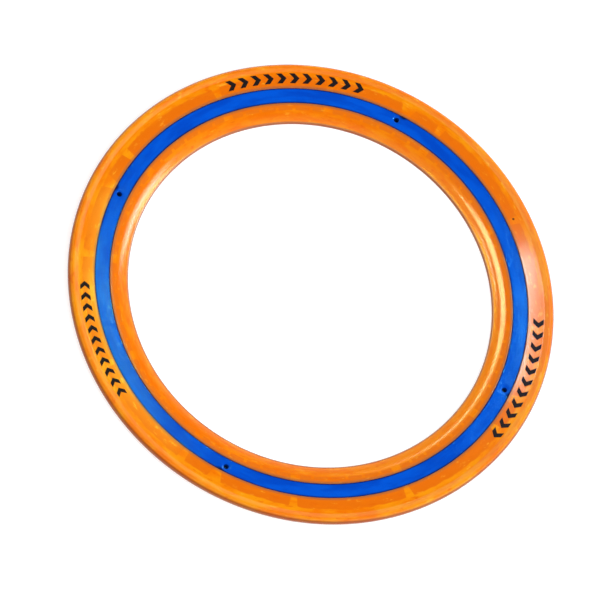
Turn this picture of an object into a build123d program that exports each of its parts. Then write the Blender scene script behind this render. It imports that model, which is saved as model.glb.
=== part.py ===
from build123d import *
from math import cos, degrees, radians, sin
import os

# Flying ring for throwing, in mm. +Z is up, with the spoiler lip on top. The origin is the ring's
# centre on the surface it lies on. A hard core ring shows as a band between two soft moulded rims.

# Plan sizes: radii from the centre of the ring
outer_radius = 125.0
band_outer_radius = 111.6
band_inner_radius = 103.6
opening_radius = 93.7

# Heights of the top surface, which rises outwards from the nose to the lip
band_inner_top = 4.4
band_outer_top = 5.0
lip_height = 6.0
underside_camber = 1.5  # how far the band's underside stands clear of the floor

# Core: band edges and the flanges that the rims are moulded round
band_chamfer = 0.35
flange_bottom = 2.0
flange_thickness = 1.2
flange_outer_radius = 118.0
flange_inner_radius = 99.8
flange_middle_radius = 107.6

# Holes that the locating pins of the mould leave in the band
pin_hole_count = 4
pin_hole_circle_radius = 108.3
pin_hole_radius = 1.25
pin_hole_depth = 2.0
pin_dimple_radius = 2.3
pin_dimple_depth = 0.25

# Notches in the flanges, filled by the rims. Widths are in degrees, angles from the first pin hole.
notch_count = 12
notch_phase = 19.1
outer_notch_widths = (1.4, 2.6)  # at the band, at the flange's edge
inner_notch_widths = (2.6, 2.9)  # at the flange's edge, at the band
gate_notch_widths = (1.8, 4.8)  # at the band, at the flange's edge
gate_notch_offset = -1.5  # from each pin hole
small_notches_between = 5  # in each gap between the deep ones
small_notch_width = 0.9
small_notch_depth = 1.6

# Outer rim
rim_step = 0.15  # how far the rims' edges stand above the band beside them
lip_foot_radius = 120.2
lip_foot_height = 5.35
lip_round = 2.4
lip_flank_angle = 18.0
outer_heel_round = 3.4
outer_camber_end = 119.5

# Inner rim
nose_height = 2.0
nose_round = 0.6
nose_heel_round = 0.45
crown_radius = 26.0
inner_camber_end = 96.5

# Mark of the point where the outer rim's mould was filled
gate_mark_angle = 49.6
gate_mark_radius = 115.5
gate_mark_size = 0.8
gate_mark_depth = 0.4

# Pad prints on the outer rim: rows of chevrons that point clockwise
print_radius = 116.85
print_thickness = 0.08
chevrons_per_print = 11
chevron_height = 5.4
chevron_stroke = 2.8
chevron_point = 2.4
chevron_pitch = 6.7
print_angles_and_scales = ((4.5, 1.0), (118.4, 1.0), (222.4, 0.89))

full_turn = 360.0
cutter_reach = 3.0  # how far cutters run past the faces they cut


def band_top(radius):
    """Height of the band's top surface at a radius."""
    slope = (band_outer_top - band_inner_top) / (band_outer_radius - band_inner_radius)
    return band_inner_top + slope * (radius - band_inner_radius)


def deck_top(radius):
    """Height of the outer rim's deck, between the band and the foot of the lip."""
    start = band_outer_top + rim_step
    slope = (lip_foot_height - start) / (lip_foot_radius - band_outer_radius)
    return start + slope * (radius - band_outer_radius)


def turned(*edges):
    """Solid of revolution about Z of a closed outline drawn in the XZ plane."""
    outline = make_face([Plane.XZ * edge for edge in edges])
    return revolve(outline, Axis.Z, full_turn)


def polar(radius, angle):
    """Point in the ground plane at a radius and an angle in degrees."""
    return (radius * cos(radians(angle)), radius * sin(radians(angle)))


def around(count, phase):
    """Even angles round the ring, in degrees."""
    return [phase + i * full_turn / count for i in range(count)]


def flange_notch(inner_end, outer_end, inner_width, outer_width, angle):
    """Cutter for one notch: four corners on two radii, through the whole flange."""
    corners = [
        polar(inner_end, angle - inner_width / 2),
        polar(outer_end, angle - outer_width / 2),
        polar(outer_end, angle + outer_width / 2),
        polar(inner_end, angle + inner_width / 2),
    ]
    bottom = Plane.XY.offset(flange_bottom - cutter_reach)
    outline = make_face(Polyline(*corners, close=True))
    return extrude(bottom * outline, flange_thickness + 2 * cutter_reach)


def outer_notches():
    """Twelve even notches in the outer flange, and one wide V beside each pin hole."""
    reach = flange_outer_radius + cutter_reach
    even = [
        flange_notch(band_outer_radius, reach, *outer_notch_widths, angle)
        for angle in around(notch_count, notch_phase)
    ]
    wide = [
        flange_notch(band_outer_radius, reach, *gate_notch_widths, angle)
        for angle in around(pin_hole_count, gate_notch_offset)
    ]
    return even + wide


def inner_notches():
    """Twelve notches through the inner flange, with short ones in its edge between them."""
    reach = flange_inner_radius - cutter_reach
    short_end = flange_inner_radius + small_notch_depth
    step = full_turn / notch_count / (small_notches_between + 1)
    deep = [
        flange_notch(reach, band_inner_radius, *inner_notch_widths, angle)
        for angle in around(notch_count, notch_phase)
    ]
    short = [
        flange_notch(reach, short_end, small_notch_width, small_notch_width, angle + j * step)
        for angle in around(notch_count, notch_phase)
        for j in range(1, small_notches_between + 1)
    ]
    return deep + short


def flange(inner_edge, outer_edge, notches):
    """Flat ring with its notches cut."""
    bottom = Plane.XY.offset(flange_bottom)
    ring = Circle(outer_edge) - Circle(inner_edge)
    return extrude(bottom * ring, flange_thickness) - notches


def band():
    """Exposed band of the core, with chamfered top edges and four pin holes in dimples."""
    body = turned(
        Polyline(
            (band_inner_radius, underside_camber),
            (band_outer_radius, underside_camber),
            (band_outer_radius, band_outer_top - band_chamfer),
            (band_outer_radius - band_chamfer, band_top(band_outer_radius - band_chamfer)),
            (band_inner_radius + band_chamfer, band_top(band_inner_radius + band_chamfer)),
            (band_inner_radius, band_inner_top - band_chamfer),
            close=True,
        )
    )
    top = band_top(pin_hole_circle_radius)
    hole = Pos(0, 0, top - pin_hole_depth) * Cylinder(
        pin_hole_radius, pin_hole_depth + cutter_reach, align=(Align.CENTER, Align.CENTER, Align.MIN)
    )
    dimple = Pos(0, 0, top - pin_dimple_depth) * Cone(
        pin_hole_radius, pin_dimple_radius, pin_dimple_depth, align=(Align.CENTER, Align.CENTER, Align.MIN)
    )
    places = PolarLocations(pin_hole_circle_radius, pin_hole_count)
    return body - [place * (hole + dimple) for place in places]


def core_ring():
    """Hard core: the band and both flanges, in one moulding."""
    outer = flange(flange_middle_radius, flange_outer_radius, outer_notches())
    inner = flange(flange_inner_radius, flange_middle_radius, inner_notches())
    return band() + outer + inner


def outer_rim(core):
    """Soft rim outside the band: a deck, the lip along its edge, and a rounded heel below."""
    lip_centre = (outer_radius - lip_round, lip_height - lip_round)
    crest_start = (
        lip_centre[0] - lip_round * sin(radians(lip_flank_angle)),
        lip_centre[1] + lip_round * cos(radians(lip_flank_angle)),
    )
    heel = outer_radius - outer_heel_round
    body = turned(
        Polyline(
            (heel, 0),
            (outer_camber_end, 0),
            (band_outer_radius, underside_camber),
            (band_outer_radius, deck_top(band_outer_radius)),
            (lip_foot_radius, lip_foot_height),
            crest_start,
        ),
        CenterArc(lip_centre, lip_round, 0, 90 + lip_flank_angle),
        Line((outer_radius, lip_centre[1]), (outer_radius, outer_heel_round)),
        CenterArc((heel, outer_heel_round), outer_heel_round, -90, 90),
    )
    mark = Pos(*polar(gate_mark_radius, gate_mark_angle), deck_top(gate_mark_radius) - gate_mark_depth)
    dot = mark * Cylinder(
        gate_mark_size / 2, gate_mark_depth + cutter_reach, align=(Align.CENTER, Align.CENTER, Align.MIN)
    )
    return body - core - dot


def inner_rim(core):
    """Soft rim inside the band: it falls in one crowned curve to a rounded nose at the opening."""
    nose_top = (opening_radius + nose_round, nose_height)
    heel = opening_radius + nose_heel_round
    body = turned(
        RadiusArc((band_inner_radius, band_inner_top + rim_step), nose_top, -crown_radius),
        CenterArc((nose_top[0], nose_height - nose_round), nose_round, 90, 90),
        Line((opening_radius, nose_height - nose_round), (opening_radius, nose_heel_round)),
        CenterArc((heel, nose_heel_round), nose_heel_round, 180, 90),
        Polyline(
            (heel, 0),
            (inner_camber_end, 0),
            (band_inner_radius, underside_camber),
            (band_inner_radius, band_inner_top + rim_step),
        ),
    )
    return body - core


def chevron(scale):
    """One chevron in its own plane, pointing along X."""
    half_height = scale * chevron_height / 2
    back = -scale * (chevron_stroke + chevron_point) / 2
    stroke = scale * chevron_stroke
    point = scale * chevron_point
    return make_face(
        Polyline(
            (back, -half_height),
            (back + stroke, -half_height),
            (back + stroke + point, 0),
            (back + stroke, half_height),
            (back, half_height),
            (back + point, 0),
            close=True,
        )
    )


def chevron_print(centre_angle, scale):
    """Row of thin chevrons that lie on the sloping deck."""
    inner = print_radius - chevron_height
    outer = print_radius + chevron_height
    film = turned(
        Polyline(
            (inner, deck_top(inner)),
            (outer, deck_top(outer)),
            (outer, deck_top(outer) + print_thickness),
            (inner, deck_top(inner) + print_thickness),
            close=True,
        )
    )
    prism = extrude(chevron(scale), lip_height + cutter_reach)
    step = degrees(scale * chevron_pitch / print_radius)
    first = centre_angle - step * (chevrons_per_print - 1) / 2
    marks = []
    for i in range(chevrons_per_print):
        place = Rot(0, 0, first + i * step - 90) * Pos(0, print_radius, 0)
        marks += (film & place * prism).solids()
    return Compound(children=marks)


def write_node(name, shape):
    """Save one sub-part as its own STEP file."""
    export_step(shape, f"parts/{name}.step")


def main():
    os.makedirs("parts", exist_ok=True)
    core = core_ring()
    write_node("core_ring", core)
    write_node("outer_rim", outer_rim(core))
    write_node("inner_rim", inner_rim(core))
    for number, (angle, scale) in enumerate(print_angles_and_scales, start=1):
        write_node(f"chevron_print_{number}", chevron_print(angle, scale))


main()
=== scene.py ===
"""Flying ring: a hard blue core band between two soft orange rims, dressed over its fixed CAD frame."""

import logging
import math
from collections.abc import Callable, Iterator
from dataclasses import dataclass
from enum import Enum

import bmesh
import bpy
from mathutils import Matrix, Vector


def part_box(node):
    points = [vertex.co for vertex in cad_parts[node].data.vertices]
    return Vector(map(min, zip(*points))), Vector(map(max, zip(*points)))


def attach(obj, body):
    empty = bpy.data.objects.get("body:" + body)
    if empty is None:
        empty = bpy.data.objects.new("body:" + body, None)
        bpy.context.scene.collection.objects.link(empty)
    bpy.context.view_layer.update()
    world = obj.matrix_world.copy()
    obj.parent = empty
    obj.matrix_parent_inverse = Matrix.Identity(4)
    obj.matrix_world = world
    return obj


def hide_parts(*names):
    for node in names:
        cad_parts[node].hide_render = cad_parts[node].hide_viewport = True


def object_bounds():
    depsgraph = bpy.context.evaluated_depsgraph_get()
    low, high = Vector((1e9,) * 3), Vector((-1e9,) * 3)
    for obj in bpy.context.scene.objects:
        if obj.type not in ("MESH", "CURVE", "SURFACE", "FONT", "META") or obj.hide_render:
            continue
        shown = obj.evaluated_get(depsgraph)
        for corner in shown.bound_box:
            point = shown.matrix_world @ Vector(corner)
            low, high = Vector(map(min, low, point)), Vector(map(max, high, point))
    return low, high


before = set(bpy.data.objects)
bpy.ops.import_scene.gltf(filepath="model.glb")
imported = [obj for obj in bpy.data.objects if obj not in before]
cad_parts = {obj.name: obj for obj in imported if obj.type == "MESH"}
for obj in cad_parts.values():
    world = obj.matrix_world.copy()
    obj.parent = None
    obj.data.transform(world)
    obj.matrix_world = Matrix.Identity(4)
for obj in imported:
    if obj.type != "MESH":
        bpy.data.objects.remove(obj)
CAD_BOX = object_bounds()

LOG = logging.getLogger("flying_ring")
MM = 0.001
FULL_TURN = 360.0
DEGREE = math.pi / 180.0
ANGLE_STEP = 1 / 3  # between the outlines of a turned mesh, in degrees
SAME_POINT = 1e-6  # points nearer than this many mm are one
FLOW_RADIUS = 110.0  # where patterns drawn out round the ring have their stated size, in mm
LIGHT_LEVEL = 1.25  # brightness of a white level surface in the studio
Point = tuple[float, float]
Span = tuple[float, float]
Colour = tuple[float, float, float]


class Slot(Enum):
    """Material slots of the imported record."""

    CORE = "core_plastic"
    RUBBER = "soft_rubber"
    INK = "print_ink"


# -------- sizes


@dataclass(frozen=True)
class Notches:
    """Even row of gaps round a flange. Angles and widths are in degrees.

    A gap is root_width wide where the flange leaves the band and edge_width wide at its free edge.
    """

    pitch: float
    phase: float
    root_width: float
    edge_width: float
    least_ramp: float = 0.1

    def offset(self, angle: float) -> float:
        """Degrees from an angle to the middle of the nearest gap."""
        return abs((angle - self.phase + self.pitch / 2) % self.pitch - self.pitch / 2)

    def fill(self, angle: float) -> float:
        """Share of the flange's reach that is solid at an angle, from 0 in a gap to 1 between gaps."""
        ramp = max(self.edge_width - self.root_width, self.least_ramp) / 2
        return min(max((self.offset(angle) - self.root_width / 2) / ramp, 0.0), 1.0)


@dataclass(frozen=True)
class RingSizes:
    """Driving sizes of the ring in millimetres. Overall sizes are read from the frame."""

    outer_radius: float
    lip_height: float
    band_inner_radius: float
    flange_outer_radius: float
    band_underside: float
    band_outer_radius: float = 111.6
    opening_radius: float = 93.7
    band_inner_top: float = 4.4
    band_outer_top: float = 5.0
    flange_inner_radius: float = 99.8
    flange_bottom: float = 2.0
    flange_top: float = 3.2
    rim_step: float = 0.15
    lip_foot_radius: float = 120.2
    lip_foot_height: float = 5.35
    pin_circle_radius: float = 108.3
    pin_count: int = 4

    @classmethod
    def from_frame(cls) -> "RingSizes":
        """Read the overall sizes from the CAD nodes' boxes.

        Returns:
            The sizes.
        """
        rim_low, rim_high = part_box("outer_rim")
        core_low, core_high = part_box("core_ring")
        return cls(
            outer_radius=min(-rim_low[0], -rim_low[1], rim_high[0], rim_high[1]) / MM,
            lip_height=rim_high[2] / MM,
            band_inner_radius=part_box("inner_rim")[1][0] / MM,
            flange_outer_radius=core_high[0] / MM,
            band_underside=core_low[2] / MM,
        )

    def band_top(self, radius: float) -> float:
        """Height of the band's top at a radius."""
        return height_on_line(radius, (self.band_inner_radius, self.band_inner_top),
                              (self.band_outer_radius, self.band_outer_top))

    def deck_top(self, radius: float) -> float:
        """Height of the outer rim's deck at a radius, between the band and the foot of the lip."""
        return height_on_line(radius, (self.band_outer_radius, self.band_outer_top + self.rim_step),
                              (self.lip_foot_radius, self.lip_foot_height))


OUTER_NOTCHES = Notches(30.0, 19.1, 1.4, 2.2)
GATE_NOTCHES = Notches(90.0, -1.5, 1.8, 3.8)
INNER_NOTCHES = Notches(30.0, 19.1, 2.6, 2.8)
EDGE_NICKS = Notches(5.0, 19.1, 0.9, 0.9)


# -------- outlines and turned meshes


def height_on_line(radius: float, start: Point, end: Point) -> float:
    """Height at a radius on the straight line through two points."""
    return start[1] + (end[1] - start[1]) / (end[0] - start[0]) * (radius - start[0])


def arc(centre: Point, radius: float, start: float, end: float, steps: int) -> list[Point]:
    """Points along a circular arc, both ends included. Angles are in degrees from outward."""
    angles = [math.radians(start + (end - start) * i / steps) for i in range(steps + 1)]
    return [(centre[0] + radius * math.cos(a), centre[1] + radius * math.sin(a)) for a in angles]


def line(start: Point, end: Point, steps: int) -> list[Point]:
    """Points along a straight stretch, both ends included."""
    return [(start[0] + (end[0] - start[0]) * i / steps, start[1] + (end[1] - start[1]) * i / steps)
            for i in range(steps + 1)]


def joined(*runs: list[Point]) -> list[Point]:
    """Join runs of points into one closed outline.

    Args:
        runs: The runs in order, each starting where the one before it ends.

    Returns:
        The outline without doubled points.
    """
    points: list[Point] = []
    for run in runs:
        for point in run:
            if not points or math.dist(point, points[-1]) > SAME_POINT:
                points.append(point)
    if math.dist(points[0], points[-1]) < SAME_POINT:
        points.pop()
    return points


class TurnedMesh:
    """Closed mesh turned about Z, whose outline may change with the angle."""

    def __init__(self, outline: Callable[[float], list[Point]]) -> None:
        """Turn an outline.

        Args:
            outline: Gives the outline at an angle in degrees, always with as many points.
        """
        self.mesh = bmesh.new()
        angles = [i * ANGLE_STEP for i in range(round(FULL_TURN / ANGLE_STEP))]
        self.rows = [self._row(outline(angle), angle) for angle in angles]
        for i, row in enumerate(self.rows):
            after = self.rows[(i + 1) % len(self.rows)]
            for j in range(len(row)):
                k = (j + 1) % len(row)
                self.mesh.faces.new((row[j], after[j], after[k], row[k]))

    def _row(self, outline: list[Point], angle: float) -> list[bmesh.types.BMVert]:
        """Make one outline's vertices at an angle."""
        across, along = math.cos(math.radians(angle)), math.sin(math.radians(angle))
        return [self.mesh.verts.new((r * across * MM, r * along * MM, z * MM)) for r, z in outline]

    def finish(self, name: str, crease: float) -> bpy.types.Object:
        """Turn the mesh into an object in the scene.

        Args:
            name: Name of the piece.
            crease: Edges sharper than this many degrees stay sharp.

        Returns:
            The new object.
        """
        bmesh.ops.recalc_face_normals(self.mesh, faces=self.mesh.faces)
        data = bpy.data.meshes.new(name)
        self.mesh.to_mesh(data)
        self.mesh.free()
        data.shade_smooth()
        data.set_sharp_from_angle(angle=math.radians(crease))
        piece = bpy.data.objects.new(name, data)
        bpy.context.scene.collection.objects.link(piece)
        return piece


# -------- node arithmetic


class Field:
    """Value that a material works out at each point, with ordinary arithmetic on it."""

    def __init__(self, tree: bpy.types.NodeTree, socket: bpy.types.NodeSocket) -> None:
        """Wrap a node's output socket."""
        self.tree = tree
        self.socket = socket

    def _math(self, operation: str, *others: "Field | float") -> "Field":
        """Add a Math node that works on this value and others.

        Args:
            operation: What it does.
            others: Its other inputs, in order.

        Returns:
            The result.
        """
        node = self.tree.nodes.new("ShaderNodeMath")
        node.operation = operation
        for slot, value in zip(node.inputs, (self, *others)):
            if isinstance(value, Field):
                self.tree.links.new(value.socket, slot)
            else:
                slot.default_value = value
        return Field(self.tree, node.outputs[0])

    def __add__(self, other: "Field | float") -> "Field":
        """Sum."""
        return self._math("ADD", other)

    def __sub__(self, other: "Field | float") -> "Field":
        """Difference."""
        return self._math("SUBTRACT", other)

    def __mul__(self, other: "Field | float") -> "Field":
        """Product."""
        return self._math("MULTIPLY", other)

    def __truediv__(self, other: "Field | float") -> "Field":
        """Quotient."""
        return self._math("DIVIDE", other)

    def __mod__(self, other: float) -> "Field":
        """Remainder, never negative."""
        return self._math("FLOORED_MODULO", other)

    def absolute(self) -> "Field":
        """Size without sign."""
        return self._math("ABSOLUTE")

    def root(self) -> "Field":
        """Square root."""
        return self._math("SQRT")

    def angle_to(self, across: "Field") -> "Field":
        """Angle in radians whose tangent is this value over across."""
        return self._math("ARCTAN2", across)

    def inverse(self) -> "Field":
        """One minus this value."""
        return self.scaled(1.0, 0.0)

    def rising(self, low: "Field | float", high: "Field | float") -> "Field":
        """Smooth step up.

        Args:
            low: Where it leaves 0.
            high: Where it reaches 1.

        Returns:
            The step.
        """
        node = self.tree.nodes.new("ShaderNodeMapRange")
        node.interpolation_type = "SMOOTHSTEP"
        for name, value in (("Value", self), ("From Min", low), ("From Max", high)):
            if isinstance(value, Field):
                self.tree.links.new(value.socket, node.inputs[name])
            else:
                node.inputs[name].default_value = value
        return Field(self.tree, node.outputs["Result"])

    def capped(self, limit: float) -> "Field":
        """This value, or the limit where it is more."""
        return self._math("MINIMUM", limit)

    def scaled(self, low: float, high: float) -> "Field":
        """Stretch a value between 0 and 1 to lie between low and high."""
        return self * (high - low) + low


@dataclass(frozen=True)
class Pattern:
    """Noise whose cells are one size in mm, or are given by their sizes round and across the ring."""

    cell: float | Span
    detail: float = 2.0
    rough: float = 0.5


class RingSpace:
    """Round coordinates of the ring inside one material: radius and height in mm, angle in degrees."""

    def __init__(self, tree: bpy.types.NodeTree) -> None:
        """Work the coordinates out from the piece's own place.

        Args:
            tree: The material's nodes.
        """
        self.tree = tree
        places = tree.nodes.new("ShaderNodeTexCoord")
        parts = tree.nodes.new("ShaderNodeSeparateXYZ")
        tree.links.new(places.outputs["Object"], parts.inputs[0])
        self.x = Field(tree, parts.outputs[0]) / MM
        self.y = Field(tree, parts.outputs[1]) / MM
        self.height = Field(tree, parts.outputs[2]) / MM
        self.radius = (self.x * self.x + self.y * self.y).root()
        self.angle = self.y.angle_to(self.x) * (1 / DEGREE)

    def _vector(self, x: Field, y: Field, z: Field) -> bpy.types.NodeSocket:
        """Join values into a vector.

        Args:
            x: First part.
            y: Second part.
            z: Third part.

        Returns:
            The vector's socket.
        """
        node = self.tree.nodes.new("ShaderNodeCombineXYZ")
        for slot, value in zip(node.inputs, (x, y, z)):
            self.tree.links.new(value.socket, slot)
        return node.outputs[0]

    def flow(self, along: float, across: float) -> bpy.types.NodeSocket:
        """Vector for patterns drawn out round the ring.

        Args:
            along: Size of a pattern cell round the ring, in mm.
            across: Size of a cell across the ring, in mm.

        Returns:
            The vector's socket.
        """
        turn = FLOW_RADIUS / along
        return self._vector(self.x / self.radius * turn, self.y / self.radius * turn,
                            (self.radius + self.height) / across)

    def plain(self, cell: float) -> bpy.types.NodeSocket:
        """Vector for patterns with even cells of that many mm."""
        return self._vector(self.x / cell, self.y / cell, self.height / cell)

    def noise(self, pattern: Pattern) -> Field:
        """Noise between 0 and 1.

        Args:
            pattern: Its cells, its octaves of finer noise and their strength.

        Returns:
            The noise.
        """
        cell = pattern.cell
        vector = self.flow(*cell) if isinstance(cell, tuple) else self.plain(cell)
        node = self.tree.nodes.new("ShaderNodeTexNoise")
        node.inputs["Scale"].default_value = 1.0
        node.inputs["Detail"].default_value = pattern.detail
        node.inputs["Roughness"].default_value = pattern.rough
        self.tree.links.new(vector, node.inputs["Vector"])
        return Field(self.tree, node.outputs["Fac"])

    def between(self, low: float, high: float, soft: float) -> Field:
        """Mask that is 1 between two radii, with soft edges."""
        beyond = self.radius.rising(high - soft, high + soft)
        return self.radius.rising(low - soft, low + soft) * beyond.inverse()

    def turn_from(self, pitch: float, phase: float) -> Field:
        """Degrees from the nearest of a row of even angles, negative on its clockwise side."""
        return (self.angle - (phase - pitch / 2)) % pitch - pitch / 2

    def local(self, pitch: float, phase: float, radius: float) -> tuple[Field, Field]:
        """Distances in mm, round the ring and outwards, from the nearest of a circle of even points."""
        return self.turn_from(pitch, phase) * DEGREE * self.radius, self.radius - radius

    def tabs(self, notches: Notches, root: float, edge: float, soft: float) -> Field:
        """Mask of a flange's tabs: 1 on a tab, 0 in a gap.

        Args:
            notches: The gaps.
            root: Radius where the flange leaves the band.
            edge: Radius of the flange's free edge.
            soft: Half the width of the mask's soft edge, in mm.

        Returns:
            The mask, which ignores the radius except in the width of the gaps.
        """
        offset = self.turn_from(notches.pitch, notches.phase).absolute()
        reach = (self.radius - root) / (edge - root)
        width = reach * ((notches.edge_width - notches.root_width) / 2) + notches.root_width / 2
        gap = (offset - width) * DEGREE * self.radius
        return gap.rising(-soft, soft)


def blended(tree: bpy.types.NodeTree, share: Field, low: "Colour | bpy.types.NodeSocket",
            high: "Colour | bpy.types.NodeSocket") -> bpy.types.NodeSocket:
    """Mix two colours.

    Args:
        tree: The material's nodes.
        share: How much of the high colour shows, from 0 to 1.
        low: Colour or socket where share is 0.
        high: Colour or socket where share is 1.

    Returns:
        The mixed colour's socket.
    """
    node = tree.nodes.new("ShaderNodeMix")
    node.data_type = "RGBA"
    node.clamp_factor = True
    tree.links.new(share.socket, node.inputs[0])
    for slot, value in ((node.inputs[6], low), (node.inputs[7], high)):
        if isinstance(value, tuple):
            slot.default_value = (*value, 1.0)
        else:
            tree.links.new(value, slot)
    return node.outputs[2]


@dataclass(frozen=True)
class Relief:
    """Fine relief of a surface: its depth in mm and how much of it shows."""

    depth: float
    strength: float

    def normal(self, height: Field) -> bpy.types.NodeSocket:
        """Normal of the surface.

        Args:
            height: The relief, from 0 to 1.

        Returns:
            The normal's socket.
        """
        node = height.tree.nodes.new("ShaderNodeBump")
        node.inputs["Strength"].default_value = self.strength
        node.inputs["Distance"].default_value = self.depth * MM
        height.tree.links.new(height.socket, node.inputs["Height"])
        return node.outputs[0]


def linear(value: int) -> float:
    """Light of one channel of a display colour, from 0 to 255."""
    share = value / 255
    return share / 12.92 if share <= 0.04045 else ((share + 0.055) / 1.055) ** 2.4


def seen(red: int, green: int, blue: int) -> Colour:
    """Linear colour that looks like a display colour on a level surface in the studio."""
    return (linear(red) / LIGHT_LEVEL, linear(green) / LIGHT_LEVEL, linear(blue) / LIGHT_LEVEL)


def new_material(name: str) -> tuple[bpy.types.Material, bpy.types.NodeTree, bpy.types.Node]:
    """Start a node material.

    Args:
        name: Name of the material.

    Returns:
        The material, its nodes and its surface shader.
    """
    material = bpy.data.materials.new(name)
    material.use_nodes = True
    tree = material.node_tree
    return material, tree, next(n for n in tree.nodes if n.type == "BSDF_PRINCIPLED")


# -------- finishes


@dataclass(frozen=True)
class RimMasks:
    """Where a rim's rubber looks different. Each gives a mask from the ring's coordinates.

    The tabs are over the core's flange, painted shade lies beside the band and on the edge, which is the
    rim's outline, the matte part is scuffed, and the spot is where the mould was filled.
    """

    tabs: Callable[[RingSpace], Field]
    seam: Callable[[RingSpace], Field]
    edge: Callable[[RingSpace], Field]
    matte: Callable[[RingSpace], Field]
    spot: Callable[[RingSpace], Field] | None = None


@dataclass(frozen=True)
class RubberFinish:
    """Smooth orange rubber that lets some light in, so that what lies under it shows."""

    golden: Colour = seen(246, 152, 10)
    amber: Colour = seen(240, 119, 2)
    ember: Colour = seen(230, 102, 6)
    pale: Colour = seen(250, 176, 48)
    over_tab: Colour = seen(232, 113, 9)
    # painted shade on the rubber beside the band
    seam: Colour = seen(158, 100, 62)
    # painted shade on the rims' outlines: the lip's outer flank and the nose wall
    deep: Colour = seen(124, 26, 2)
    spot: Colour = seen(90, 40, 20)
    sheen: Colour = (1.0, 0.85, 0.5)
    drift: Pattern = Pattern(60.0, 1.0)
    cloud: Pattern = Pattern((14.0, 4.0), 3.0, 0.6)
    blotch: Pattern = Pattern((6.0, 2.2), 4.0, 0.62)
    streak: Pattern = Pattern((9.0, 0.7))
    grain: Pattern = Pattern(0.35)
    drift_share: float = 0.4
    golden_range: Span = (0.38, 0.62)
    tab_range: Span = (0.25, 0.5)
    tab_strength: Span = (0.4, 1.0)
    pale_range: Span = (0.58, 0.74)
    ember_range: Span = (0.28, 0.42)
    blotch_strength: float = 0.7
    # how much the painted shade beside the band and on the outlines shows
    border_strength: float = 0.8
    roughness: Span = (0.08, 0.16)
    matte_roughness: float = 0.3
    gloss: float = 0.18
    edge_gloss: float = 0.5
    grain_share: float = 0.4
    relief: Relief = Relief(0.04, 0.2)
    glow_depth: Colour = (1.0, 0.35, 0.08)
    glow_share: float = 0.15

    def colour(self, tree: bpy.types.NodeTree, space: RingSpace, masks: RimMasks) -> bpy.types.NodeSocket:
        """Work out the rubber's colour.

        Args:
            tree: The material's nodes.
            space: The ring's coordinates.
            masks: Where the rubber looks different.

        Returns:
            The colour's socket.
        """
        cloud, blotch = space.noise(self.cloud), space.noise(self.blotch)
        mixed = space.noise(self.drift) * self.drift_share + cloud * (1 - self.drift_share)
        shown = masks.tabs(space) * cloud.rising(*self.tab_range).scaled(*self.tab_strength)
        paler = blotch.rising(*self.pale_range) * self.blotch_strength
        darker = blotch.rising(*self.ember_range).inverse() * self.blotch_strength
        colour = blended(tree, mixed.rising(*self.golden_range), self.amber, self.golden)
        colour = blended(tree, shown, colour, self.over_tab)
        colour = blended(tree, paler, colour, self.pale)
        colour = blended(tree, darker, colour, self.ember)
        # Painted shade on the rubber beside the band.
        colour = blended(tree, masks.seam(space) * self.border_strength, colour, self.seam)
        if masks.spot:
            colour = blended(tree, masks.spot(space), colour, self.spot)
        # Painted shade darkens the rim's outline: the lip's outer flank on the outer rim, the nose wall on
        # the inner.
        return blended(tree, masks.edge(space) * self.border_strength, colour, self.deep)

    def material(self, name: str, masks: RimMasks) -> bpy.types.Material:
        """Make the material of one rim.

        Args:
            name: Name of the material.
            masks: Where the rubber looks different.

        Returns:
            The material.
        """
        material, tree, shader = new_material(name)
        space = RingSpace(tree)
        tree.links.new(self.colour(tree, space, masks), shader.inputs["Base Color"])
        streak = space.noise(self.streak)
        rough = streak.scaled(*self.roughness) + masks.matte(space) * self.matte_roughness
        tree.links.new(rough.socket, shader.inputs["Roughness"])
        height = space.noise(self.grain) * self.grain_share + streak * (1 - self.grain_share)
        tree.links.new(self.relief.normal(height), shader.inputs["Normal"])
        gloss = masks.edge(space) * self.edge_gloss + self.gloss
        tree.links.new(gloss.socket, shader.inputs["Specular IOR Level"])
        shader.inputs["Specular Tint"].default_value = (*self.sheen, 1.0)
        shader.inputs["Subsurface Weight"].default_value = self.glow_share
        shader.inputs["Subsurface Radius"].default_value = self.glow_depth
        shader.inputs["Subsurface Scale"].default_value = MM
        return material


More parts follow.
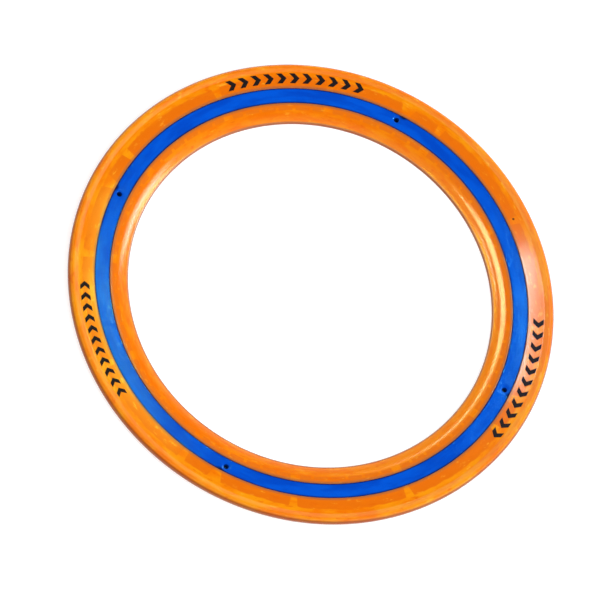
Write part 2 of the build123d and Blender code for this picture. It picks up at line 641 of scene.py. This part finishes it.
@dataclass(frozen=True)
class CoreFinish:
    """Glossy blue plastic with a fine moulded grain that glints."""

    bright: Colour = seen(4, 85, 212)
    blue: Colour = seen(3, 71, 194)
    # painted shade in the chamfered grooves at the band's edges
    groove_shade: Colour = seen(20, 30, 66)
    # dark of the flow marks, also used as painted shade inside the pin holes
    hole: Colour = seen(6, 12, 42)
    sheen: Colour = (0.2, 0.85, 1.0)
    cloud: Pattern = Pattern((20.0, 5.0), 3.0, 0.6)
    cloud_range: Span = (0.35, 0.65)
    groove_width: float = 0.6
    hole_shade: Span = (1.1, 1.5)
    marks_above: Span = (0.5, 1.0)
    flow_place: Span = (-2.4, 3.3)
    flow_reach: Span = (3.0, 2.2)
    flow_fade: Span = (0.25, 1.0)
    flow_strength: float = 0.9
    grain: Pattern = Pattern(1.5, 4.0, 0.75)
    roughness: Span = (0.05, 0.14)
    relief: Relief = Relief(0.1, 0.9)
    glint: Pattern = Pattern(1.0, 2.0, 0.6)
    glint_range: Span = (0.53, 0.63)
    gloss: Span = (0.04, 0.48)

    def flow_mark(self, around: Field, out: Field) -> Field:
        """Mask of the dark mark where the plastic flowed round a pin, between hole and band edge.

        Args:
            around: Distance from the pin hole round the ring, in mm.
            out: Distance from the pin hole outwards, in mm.

        Returns:
            The mask.
        """
        sideways = (around - self.flow_place[0]) / self.flow_reach[0]
        upwards = (out - self.flow_place[1]) / self.flow_reach[1]
        return (sideways * sideways + upwards * upwards).root().rising(*self.flow_fade).inverse()

    def material(self, name: str, sizes: RingSizes) -> bpy.types.Material:
        """Make the core's material.

        Args:
            name: Name of the material.
            sizes: Sizes of the ring.

        Returns:
            The material.
        """
        material, tree, shader = new_material(name)
        space = RingSpace(tree)
        cloud = space.noise(self.cloud).rising(*self.cloud_range)
        colour = blended(tree, cloud, self.blue, self.bright)
        # Painted shade in the chamfered grooves along both edges of the band.
        inside = space.between(sizes.band_inner_radius + self.groove_width,
                               sizes.band_outer_radius - self.groove_width, self.groove_width)
        colour = blended(tree, inside.inverse(), colour, self.groove_shade)
        around, out = space.local(FULL_TURN / sizes.pin_count, 0.0, sizes.pin_circle_radius)
        above = space.height.rising(*(sizes.band_underside + gap for gap in self.marks_above))
        flow = self.flow_mark(around, out) * above * self.flow_strength
        colour = blended(tree, flow, colour, self.hole)
        # Painted shade inside each pin hole, in the flow marks' dark colour.
        from_hole = (around * around + out * out).root()
        colour = blended(tree, from_hole.rising(*self.hole_shade).inverse() * above, colour, self.hole)
        tree.links.new(colour, shader.inputs["Base Color"])
        grain = space.noise(self.grain)
        tree.links.new(grain.scaled(*self.roughness).socket, shader.inputs["Roughness"])
        tree.links.new(self.relief.normal(grain), shader.inputs["Normal"])
        glint = space.noise(self.glint).rising(*self.glint_range)
        tree.links.new(glint.scaled(*self.gloss).socket, shader.inputs["Specular IOR Level"])
        shader.inputs["Specular Tint"].default_value = (*self.sheen, 1.0)
        return material


@dataclass(frozen=True)
class InkFinish:
    """Thin black printed ink with faint pinholes."""

    black: Colour = seen(24, 18, 20)
    thin: Colour = seen(58, 34, 22)
    specks: Pattern = Pattern(0.5, 3.0, 0.7)
    thin_range: Span = (0.6, 0.75)
    roughness: Span = (0.4, 0.65)
    relief: Relief = Relief(0.02, 0.4)
    gloss: float = 0.05

    def material(self, name: str) -> bpy.types.Material:
        """Make the ink's material.

        Args:
            name: Name of the material.

        Returns:
            The material.
        """
        material, tree, shader = new_material(name)
        space = RingSpace(tree)
        specks = space.noise(self.specks)
        colour = blended(tree, specks.rising(*self.thin_range), self.black, self.thin)
        tree.links.new(colour, shader.inputs["Base Color"])
        tree.links.new(specks.scaled(*self.roughness).socket, shader.inputs["Roughness"])
        tree.links.new(self.relief.normal(specks), shader.inputs["Normal"])
        shader.inputs["Specular IOR Level"].default_value = self.gloss
        return material


@dataclass(frozen=True)
class FloorFinish:
    """Plain pale floor, a light table that glows a little."""

    pale: Colour = (0.62, 0.62, 0.62)
    paler: Colour = (0.65, 0.65, 0.65)
    cloud: Pattern = Pattern(300.0)
    glow: float = 0.5
    roughness: float = 0.9

    def material(self, name: str) -> bpy.types.Material:
        """Make the floor's material.

        Args:
            name: Name of the material.

        Returns:
            The material.
        """
        material, tree, shader = new_material(name)
        space = RingSpace(tree)
        colour = blended(tree, space.noise(self.cloud), self.pale, self.paler)
        tree.links.new(colour, shader.inputs["Base Color"])
        shader.inputs["Emission Color"].default_value = (1.0, 1.0, 1.0, 1.0)
        shader.inputs["Emission Strength"].default_value = self.glow
        shader.inputs["Roughness"].default_value = self.roughness
        shader.inputs["Specular IOR Level"].default_value = 0.0
        return material


# -------- the ring's pieces


@dataclass
class OuterRim:
    """Soft rim outside the band: a deck, the raised lip, an upright edge and a rounded heel."""

    sizes: RingSizes
    finish: RubberFinish
    lip_round: float = 2.4
    flank_angle: float = 18.0
    heel_round: float = 3.4
    camber_end: float = 119.5
    edge_round: float = 0.18
    gate_angle: float = 49.6
    gate_radius: float = 115.5
    gate_size: float = 0.8
    flange_gap: float = 0.02
    crease: float = 38.0
    tab_soft: float = 0.35
    tab_wave: Pattern = Pattern((5.0, 3.0))
    tab_fade: Span = (-0.7, 0.4)
    seam_width: float = 1.9
    flank_drop: Span = (-1.2, -0.1)
    flank_width: Span = (-2.0, -1.2)
    crest_width: float = 0.6
    matte_soft: float = 0.5

    def flange_edge(self, angle: float) -> float:
        """Radius that the core's outer flange reaches.

        Args:
            angle: Where, in degrees.

        Returns:
            The radius.
        """
        share = min(OUTER_NOTCHES.fill(angle), GATE_NOTCHES.fill(angle))
        root = self.sizes.band_outer_radius
        return root + self.flange_gap + (self.sizes.flange_outer_radius - root) * share

    def outline(self, angle: float) -> list[Point]:
        """Closed outline of the rim, with the slot that the flange fills.

        Args:
            angle: Where, in degrees.

        Returns:
            The outline's points.
        """
        s = self.sizes
        lip = (s.outer_radius - self.lip_round, s.lip_height - self.lip_round)
        crest = arc(lip, self.lip_round, 90 + self.flank_angle, 0, 14)
        heel = (s.outer_radius - self.heel_round, self.heel_round)
        edge = (s.band_outer_radius + self.edge_round, s.deck_top(s.band_outer_radius) - self.edge_round)
        foot = (s.lip_foot_radius, s.lip_foot_height)
        reach = self.flange_edge(angle)
        return joined(
            arc(edge, self.edge_round, 180, 91, 3),
            line((edge[0], s.deck_top(edge[0])), foot, 14),
            line(foot, crest[0], 6),
            crest,
            line((s.outer_radius, lip[1]), (s.outer_radius, heel[1]), 1),
            arc(heel, self.heel_round, 0, -90, 8),
            line((heel[0], 0.0), (self.camber_end, 0.0), 3),
            line((self.camber_end, 0.0), (s.band_outer_radius, s.band_underside), 6),
            [(s.band_outer_radius, s.flange_bottom), (reach, s.flange_bottom), (reach, s.flange_top),
             (s.band_outer_radius, s.flange_top)],
        )

    def build(self) -> bpy.types.Object:
        """Make the rim, dress it and stand it in for its CAD node.

        Returns:
            The piece.
        """
        piece = TurnedMesh(self.outline).finish("outer_rim_moulding", self.crease)
        s = self.sizes

        def tabs(space: RingSpace) -> Field:
            """Flange under the deck.

            Args:
                space: The ring's coordinates.

            Returns:
                The mask.
            """
            root, end = s.band_outer_radius, s.flange_outer_radius
            even = space.tabs(OUTER_NOTCHES, root, end, self.tab_soft)
            wide = space.tabs(GATE_NOTCHES, root, end, self.tab_soft)
            wavy = space.radius + space.noise(self.tab_wave).scaled(-1.0, 1.0)
            return even * wide * wavy.rising(*(end + fade for fade in self.tab_fade)).inverse()

        def seam(space: RingSpace) -> Field:
            """Painted shade on the thin edge beside the band."""
            root = s.band_outer_radius
            return space.radius.rising(root, root + self.seam_width).inverse()

        def edge(space: RingSpace) -> Field:
            """Outer flank of the lip and the edge below it, darkened as painted shade."""
            below = space.height.rising(*(s.lip_height + drop for drop in self.flank_drop)).inverse()
            return below * space.radius.rising(*(s.outer_radius + width for width in self.flank_width))

        def spot(space: RingSpace) -> Field:
            """Mark of the point where the mould was filled.

            Args:
                space: The ring's coordinates.

            Returns:
                The mask.
            """
            around, out = space.local(FULL_TURN, self.gate_angle, self.gate_radius)
            from_middle = (around * around + out * out).root()
            above = space.height.rising(s.flange_bottom, s.flange_top)
            return from_middle.rising(self.gate_size / 2, self.gate_size).inverse() * above

        def matte(space: RingSpace) -> Field:
            """Scuffed top of the lip."""
            crest = s.outer_radius - self.lip_round + self.crest_width
            return space.between(s.lip_foot_radius, crest, self.matte_soft)

        masks = RimMasks(tabs, seam, edge, matte, spot)
        piece.data.materials.append(self.finish.material("outer_rim_rubber", masks))
        settle(piece, Slot.RUBBER, "outer_rim")
        return piece


@dataclass
class InnerRim:
    """Soft rim inside the band, which falls in one crowned curve to a rounded nose."""

    sizes: RingSizes
    finish: RubberFinish
    nose_height: float = 2.0
    nose_round: float = 0.6
    heel_round: float = 0.45
    crown_radius: float = 26.0
    camber_end: float = 96.5
    edge_round: float = 0.18
    flange_gap: float = 0.02
    nick_depth: float = 1.6
    crease: float = 38.0
    tab_soft: float = 0.3
    nick_soft: float = 0.25
    nick_fade: Span = (1.2, 2.0)
    tab_fade: Span = (-0.3, 0.6)
    seam_width: float = 1.8
    wall_fade: Span = (0.4, 1.1)

    def flange_edge(self, angle: float) -> float:
        """Radius that the core's inner flange reaches.

        Args:
            angle: Where, in degrees.

        Returns:
            The radius.
        """
        root = self.sizes.band_inner_radius
        deep = INNER_NOTCHES.fill(angle)
        nick = self.nick_depth * (1 - EDGE_NICKS.fill(angle))
        return root - self.flange_gap - (root - self.sizes.flange_inner_radius - nick) * deep

    def crown(self) -> list[Point]:
        """Draw the crowned top.

        Returns:
            Its points, from the nose up to the band.
        """
        s = self.sizes
        start = (s.opening_radius + self.nose_round, self.nose_height)
        end = (s.band_inner_radius, s.band_inner_top + s.rim_step)
        half = math.dist(start, end) / 2
        tilt = math.atan2(end[1] - start[1], end[0] - start[0])
        drop = math.sqrt(self.crown_radius**2 - half**2)
        centre = ((start[0] + end[0]) / 2 + drop * math.sin(tilt),
                  (start[1] + end[1]) / 2 - drop * math.cos(tilt))
        spread = math.degrees(math.asin(half / self.crown_radius))
        middle = 90 + math.degrees(tilt)
        return arc(centre, self.crown_radius, middle + spread, middle - spread, 22)

    def outline(self, angle: float) -> list[Point]:
        """Closed outline of the rim, with the slot that the flange fills.

        Args:
            angle: Where, in degrees.

        Returns:
            The outline's points.
        """
        s = self.sizes
        nose = (s.opening_radius + self.nose_round, self.nose_height - self.nose_round)
        heel = (s.opening_radius + self.heel_round, self.heel_round)
        crown = [p for p in self.crown() if p[0] < s.band_inner_radius - self.edge_round]
        top = s.band_inner_top + s.rim_step
        edge = (s.band_inner_radius - self.edge_round, top - self.edge_round)
        reach = self.flange_edge(angle)
        return joined(
            arc(heel, self.heel_round, 270, 180, 4),
            line((s.opening_radius, heel[1]), (s.opening_radius, nose[1]), 3),
            arc(nose, self.nose_round, 180, 115, 6),
            crown,
            arc(edge, self.edge_round, 88, 0, 3),
            [(s.band_inner_radius, s.flange_top), (reach, s.flange_top), (reach, s.flange_bottom),
             (s.band_inner_radius, s.flange_bottom), (s.band_inner_radius, s.band_underside)],
            line((s.band_inner_radius, s.band_underside), (self.camber_end, 0.0), 6),
            line((self.camber_end, 0.0), (heel[0], 0.0), 3),
        )

    def build(self) -> bpy.types.Object:
        """Make the rim, dress it and stand it in for its CAD node.

        Returns:
            The piece.
        """
        piece = TurnedMesh(self.outline).finish("inner_rim_moulding", self.crease)
        s = self.sizes

        def tabs(space: RingSpace) -> Field:
            """Flange under the crown.

            Args:
                space: The ring's coordinates.

            Returns:
                The mask.
            """
            root, end = s.band_inner_radius, s.flange_inner_radius
            deep = space.tabs(INNER_NOTCHES, root, end, self.tab_soft)
            nicks = space.tabs(EDGE_NICKS, root, end, self.nick_soft)
            past_nicks = space.radius.rising(*(end + fade for fade in self.nick_fade))
            past_end = space.radius.rising(*(end + fade for fade in self.tab_fade))
            return deep * past_end * (nicks + past_nicks).capped(1.0)

        def seam(space: RingSpace) -> Field:
            """Painted shade on the thin edge beside the band."""
            return space.radius.rising(s.band_inner_radius - self.seam_width, s.band_inner_radius)

        def edge(space: RingSpace) -> Field:
            """Upright wall of the nose, darkened as painted shade."""
            return space.radius.rising(*(s.opening_radius + fade for fade in self.wall_fade)).inverse()

        masks = RimMasks(tabs, seam, edge, matte=edge)
        piece.data.materials.append(self.finish.material("inner_rim_rubber", masks))
        settle(piece, Slot.RUBBER, "inner_rim")
        return piece


@dataclass
class CoreRing:
    """Hard core: the band with chamfered edges and four pin holes in dimples, and both flanges."""

    sizes: RingSizes
    finish: CoreFinish
    outer: OuterRim
    inner: InnerRim
    chamfer: float = 0.35
    hole_radius: float = 1.25
    hole_depth: float = 2.0
    dimple_radius: float = 2.3
    dimple_depth: float = 0.25
    collar: float = 0.2
    fine: float = 0.02
    hole_bevel: float = 0.1
    crease: float = 30.0
    inner_rows: Span = (104.4, 104.9)
    patch_spans: int = 10
    patch_rows: Span = (105.5, 111.1)

    def top_radii(self) -> list[float]:
        """Space out the band's top, with even rows across the pin holes' patches.

        Returns:
            The radii.
        """
        s = self.sizes
        low, high = self.patch_rows
        step = (high - low) / self.patch_spans
        return [s.band_inner_radius + self.chamfer, *self.inner_rows,
                *[low + step * i for i in range(self.patch_spans + 1)],
                s.band_outer_radius - self.chamfer]

    def outline(self, angle: float) -> list[Point]:
        """Closed outline of the core.

        Args:
            angle: Where, in degrees.

        Returns:
            The outline's points.
        """
        s = self.sizes
        outer, inner = self.outer.flange_edge(angle), self.inner.flange_edge(angle)
        return joined(
            [(r, s.band_top(r)) for r in self.top_radii()],
            [(s.band_outer_radius, s.band_outer_top - self.chamfer), (s.band_outer_radius, s.flange_top),
             (outer, s.flange_top), (outer, s.flange_bottom), (s.band_outer_radius, s.flange_bottom),
             (s.band_outer_radius, s.band_underside), (s.band_inner_radius, s.band_underside),
             (s.band_inner_radius, s.flange_bottom), (inner, s.flange_bottom), (inner, s.flange_top),
             (s.band_inner_radius, s.flange_top), (s.band_inner_radius, s.band_inner_top - self.chamfer)],
        )

    def hole_profile(self) -> Iterator[Point]:
        """Draw the dimple and hole, from the rim of the dimple inwards.

        Yields:
            The radius and depth of each ring.
        """
        yield self.dimple_radius + self.collar, 0.0
        yield self.dimple_radius, self.fine
        yield (self.dimple_radius + self.hole_radius) / 2, self.dimple_depth / 2
        yield self.hole_radius + 6 * self.fine, self.dimple_depth - 0.75 * self.fine
        yield self.hole_radius + self.fine, self.dimple_depth + 3 * self.fine
        yield self.hole_radius, self.dimple_depth + self.collar
        yield self.hole_radius, self.hole_depth - self.hole_bevel
        yield self.hole_radius - self.hole_bevel, self.hole_depth

    def cut_pin_hole(self, turned: TurnedMesh, number: int) -> None:
        """Replace a patch of the band's top with a dimple and a blind hole.

        Args:
            turned: The core's mesh.
            number: Which pin hole, counted from the first.
        """
        s = self.sizes
        angle = number * FULL_TURN / s.pin_count
        middle = round(angle / ANGLE_STEP)
        half = self.patch_spans // 2
        first = self.top_radii().index(self.patch_rows[0])
        rows = [turned.rows[(middle + i) % len(turned.rows)] for i in range(-half, half + 1)]
        last = self.patch_spans
        grid = [row[first:first + last + 1] for row in rows]
        inside = [vertex for row in grid[1:-1] for vertex in row[1:-1]]
        bmesh.ops.delete(turned.mesh, geom=inside, context="VERTS")
        border = ([grid[i][0] for i in range(last)] + [grid[last][j] for j in range(last)]
                  + [grid[last - i][last] for i in range(last)] + [grid[0][last - j] for j in range(last)])
        centre = Vector((s.pin_circle_radius * math.cos(math.radians(angle)) * MM,
                         s.pin_circle_radius * math.sin(math.radians(angle)) * MM, 0.0))
        ring = border
        for radius, depth in self.hole_profile():
            inner = []
            for v in border:
                away = Vector((v.co.x, v.co.y, 0.0)) - centre
                spot = centre + away.normalized() * radius * MM
                spot.z = (s.band_top(spot.length / MM) - depth) * MM
                inner.append(turned.mesh.verts.new(spot))
            for i in range(len(ring)):
                k = (i + 1) % len(ring)
                turned.mesh.faces.new((ring[i], ring[k], inner[k], inner[i]))
            ring = inner
        turned.mesh.faces.new(ring)

    def build(self) -> bpy.types.Object:
        """Make the core, dress it and stand it in for its CAD node.

        Returns:
            The piece.
        """
        turned = TurnedMesh(self.outline)
        for number in range(self.sizes.pin_count):
            self.cut_pin_hole(turned, number)
        piece = turned.finish("core_ring_moulding", self.crease)
        piece.data.materials.append(self.finish.material("core_plastic", self.sizes))
        settle(piece, Slot.CORE, "core_ring")
        return piece


@dataclass
class ChevronPrints:
    """The three rows of printed chevrons, which keep their CAD shape and take the ink's finish."""

    finish: InkFinish
    count: int = 3

    def dress(self) -> list[bpy.types.Object]:
        """Give each print the ink's material.

        Returns:
            The prints.
        """
        ink = self.finish.material("print_ink")
        prints = [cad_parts[f"chevron_print_{i}"] for i in range(1, self.count + 1)]
        for piece in prints:
            for slot in piece.material_slots:
                slot.material = ink
        return prints


def settle(piece: bpy.types.Object, slot: Slot, *nodes: str) -> None:
    """Ride a piece on the ring's body in place of its CAD nodes.

    Args:
        piece: The new piece.
        slot: Not used.
        nodes: The CAD nodes that it stands for.
    """
    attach(piece, "root")
    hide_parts(*nodes)


# -------- studio


@dataclass(frozen=True)
class Softbox:
    """Small soft light that shows as a sheen on one stretch of the ring.

    The angle, radius and slope are of the surface where the middle of the sheen lies. The size, in metres,
    is given round and across the ring, and the distance is from that surface to the light.
    """

    name: str
    angle: float
    radius: float
    slope: float
    size: Span
    power: float
    distance: float
    tint: Colour = (1.0, 1.0, 1.0)

    def hang(self, view: Vector) -> bpy.types.Object:
        """Put the light where its reflection is seen from the camera.

        Args:
            view: Direction from the ring to the camera.

        Returns:
            The light.
        """
        outward = Vector((math.cos(math.radians(self.angle)), math.sin(math.radians(self.angle)), 0.0))
        tilt = math.radians(self.slope)
        normal = Vector((0.0, 0.0, math.cos(tilt))) - outward * math.sin(tilt)
        toward = normal * (2 * normal.dot(view)) - view
        along = Vector((-outward.y, outward.x, 0.0))
        along = (along - toward * along.dot(toward)).normalized()
        data = bpy.data.lights.new(self.name, "AREA")
        data.shape = "RECTANGLE"
        data.size, data.size_y = self.size
        data.energy = self.power
        data.color = self.tint
        light = bpy.data.objects.new(self.name, data)
        turn = Matrix((along, toward.cross(along), toward)).transposed()
        place = outward * self.radius * MM + toward * self.distance
        light.matrix_world = Matrix.Translation(place) @ turn.to_4x4()
        light.visible_camera = False
        light.visible_diffuse = False
        bpy.context.scene.collection.objects.link(light)
        return light


SHEENS = (
    Softbox("deck_softbox", 20.0, 112.5, 1.8, (0.062, 0.013), 0.28, 0.25, (0.4, 0.62, 1.0)),
    Softbox("crown_softbox", 35.0, 99.0, 14.7, (0.022, 0.024), 0.09, 0.13, (1.0, 1.0, 0.8)),
    Softbox("nose_softbox", 181.0, 97.0, 19.0, (0.13, 0.11), 1.1, 0.5, (0.8, 0.9, 1.0)),
    Softbox("band_softbox", 221.0, 107.5, 4.6, (0.03, 0.01), 0.075, 0.25),
    Softbox("left_softbox", 197.0, 111.8, 1.3, (0.05, 0.004), 0.055, 0.25, (0.8, 1.0, 0.15)),
    Softbox("near_softbox", 222.0, 111.8, 1.3, (0.05, 0.004), 0.085, 0.25, (0.8, 1.0, 0.15)),
    Softbox("low_softbox", 246.0, 111.8, 1.3, (0.04, 0.004), 0.05, 0.25, (0.8, 1.0, 0.15)),
)


@dataclass
class Studio:
    """Pale floor, soft lights and the camera."""

    floor: FloorFinish
    azimuth: float = 266.6
    elevation: float = 63.3
    roll: float = 30.0
    lens: float = 800.0
    sensor: float = 36.0
    camera_reach: float = 100.0
    ring_share: float = 0.8310
    centre_shift: Span = (-0.0189, -0.0111)
    floor_size: float = 30.0
    floor_cells: int = 8
    floor_gap: float = 0.0002
    room: float = 3.1
    shade_angle: float = 230.0
    shade: float = 0.1
    shade_edge: Span = (-0.2, 0.8)
    shade_lean: float = 0.8
    patch: float = 0.05
    patch_edge: Span = (0.66, 0.88)

    def lay_floor(self) -> bpy.types.Object:
        """Lay the floor under the ring.

        Returns:
            The floor.
        """
        bpy.ops.mesh.primitive_grid_add(x_subdivisions=self.floor_cells, y_subdivisions=self.floor_cells,
                                        size=self.floor_size, location=(0, 0, -self.floor_gap))
        floor = bpy.context.object
        floor.name = "studio_floor"
        floor.data.materials.append(self.floor.material("studio_floor"))
        return floor

    def view(self) -> Vector:
        """Direction from the ring to the camera."""
        across, up = math.radians(self.azimuth), math.radians(self.elevation)
        return Vector((math.cos(up) * math.cos(across), math.cos(up) * math.sin(across), math.sin(up)))

    def set_camera(self) -> bpy.types.Object:
        """Aim the camera at the middle of the ring, tilted and rolled as the ring is seen.

        Returns:
            The camera.
        """
        low, high = CAD_BOX
        middle = Vector([(a + b) / 2 for a, b in zip(low, high)])
        away = self.view()
        width = (high[0] - low[0]) / self.ring_share
        distance = width * self.lens / self.sensor
        data = bpy.data.cameras.new("camera")
        data.lens = self.lens
        data.sensor_width = self.sensor
        data.clip_end = self.camera_reach
        camera = bpy.data.objects.new("camera", data)
        roll = Matrix.Rotation(math.radians(self.roll), 3, "Z")
        turn = (-away).to_track_quat("-Z", "Y").to_matrix() @ roll
        sideways, upright = turn.col[0], turn.col[1]
        right, up = self.centre_shift
        target = middle + sideways * right * width + upright * up * width
        camera.matrix_world = Matrix.Translation(target + away * distance) @ turn.to_4x4()
        bpy.context.scene.collection.objects.link(camera)
        bpy.context.scene.camera = camera
        return camera

    def light(self) -> None:
        """Hang the softboxes and light the room.

        The room is dim low down on one side, and dark in the patch that level surfaces reflect.
        """
        for box in SHEENS:
            box.hang(self.view())
        world = bpy.data.worlds.new("room")
        world.use_nodes = True
        tree = world.node_tree
        directions = tree.nodes.new("ShaderNodeTexCoord")
        parts = tree.nodes.new("ShaderNodeSeparateXYZ")
        tree.links.new(directions.outputs["Generated"], parts.inputs[0])
        view = self.view()
        east, north, up = (Field(tree, part) for part in parts.outputs)
        mirrored = up * view.z - east * view.x - north * view.y
        shaded = math.radians(self.shade_angle)
        lean = up - (east * math.cos(shaded) + north * math.sin(shaded)) * self.shade_lean
        shade = lean.rising(*self.shade_edge).scaled(self.shade, 1.0)
        patch = mirrored.rising(*self.patch_edge).scaled(1.0, self.patch)
        background = tree.nodes["Background"]
        background.inputs["Color"].default_value = (1.0, 1.0, 1.0, 1.0)
        tree.links.new((shade * patch * self.room).socket, background.inputs["Strength"])
        bpy.context.scene.world = world
        bpy.context.scene.view_settings.view_transform = "Standard"

    def set_up(self) -> None:
        """Build the whole studio."""
        self.lay_floor()
        self.set_camera()
        self.light()


def main() -> None:
    """Build every piece of the ring and the studio, and report each one."""
    logging.basicConfig(level=logging.INFO, format="%(name)s: %(message)s")
    sizes = RingSizes.from_frame()
    outer = OuterRim(sizes, RubberFinish())
    inner = InnerRim(sizes, RubberFinish(golden=seen(244, 138, 8), amber=seen(238, 114, 2),
                                         pale=seen(248, 164, 40), over_tab=seen(230, 116, 20)))
    core = CoreRing(sizes, CoreFinish(), outer, inner)
    for piece in (core.build(), outer.build(), inner.build(), *ChevronPrints(InkFinish()).dress()):
        LOG.info("%s: %d faces", piece.name, len(piece.data.polygons))
    Studio(FloorFinish()).set_up()


if __name__ == "__main__":
    main()
